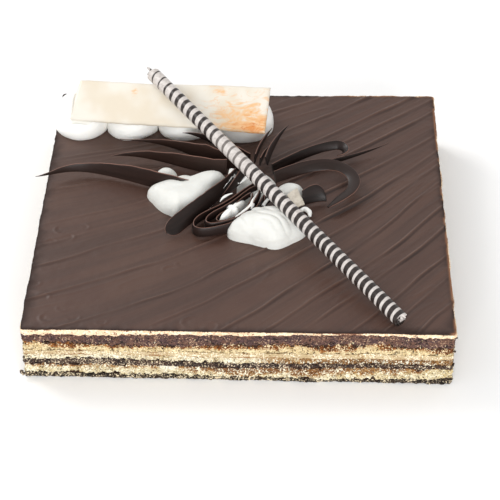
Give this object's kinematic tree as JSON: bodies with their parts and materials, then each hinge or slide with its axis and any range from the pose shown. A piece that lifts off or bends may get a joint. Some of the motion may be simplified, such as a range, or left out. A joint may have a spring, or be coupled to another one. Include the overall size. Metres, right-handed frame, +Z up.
{
  "type": "opera cake",
  "caption": "Rectangular layered opera cake with a dark glaze, piped cream mounds, an ivory chocolate plaque, a striped chocolate pencil and a spray of dark chocolate blades.",
  "frame": {"origin": "centre of the slab's flat underside", "axes": "+Z up, +X along the long front edge towards the right, +Y towards the back"},
  "size_m": [0.1947, 0.184, 0.0581],
  "materials": {
    "base_chocolate": "dark chocolate base coat, dull",
    "sponge_pale": "pale almond sponge, open crumb",
    "sponge_soaked": "coffee-soaked almond sponge, moist crumb",
    "ganache": "dark ganache, crumbly cut face",
    "buttercream": "pale coffee buttercream, smooth cut face",
    "glaze": "satin chocolate glaze with palette-knife strokes",
    "cream": "soft piped cream",
    "ivory": "ivory chocolate with orange marbling",
    "striped_chocolate": "white and dark chocolate in fine spiral stripes",
    "chocolate": "tempered dark chocolate, glossy"
  },
  "bodies": {
    "root": {"base_chocolate": "base_chocolate", "sponge_bottom": "sponge_pale", "ganache_lower": "ganache", "sponge_lower_middle": "sponge_pale", "buttercream_middle": "buttercream", "sponge_upper_middle": "sponge_soaked", "ganache_upper": "ganache", "buttercream_top": "buttercream", "glaze": "glaze", "cream_row_1": "cream", "cream_row_2": "cream", "cream_row_3": "cream", "cream_row_4": "cream", "cream_left": "cream", "cream_front": "cream", "cream_centre": "cream", "cream_inner": "cream", "cream_right": "cream", "plaque": "ivory", "striped_pencil": "striped_chocolate", "blade_left_1": "chocolate", "blade_left_2": "chocolate", "blade_left_3": "chocolate", "blade_left_4": "chocolate", "blade_left_5": "chocolate", "blade_back_1": "chocolate", "blade_back_2": "chocolate", "blade_back_3": "chocolate", "blade_right_hook": "chocolate", "blade_right_spike": "chocolate", "blade_right_loop": "chocolate", "blade_right_leaf": "chocolate", "blade_front_leaf": "chocolate", "blade_front_narrow": "chocolate", "petal_outer": "chocolate", "petal_middle": "chocolate", "petal_inner": "chocolate", "petal_small": "chocolate"}
  },
  "joints": []
}
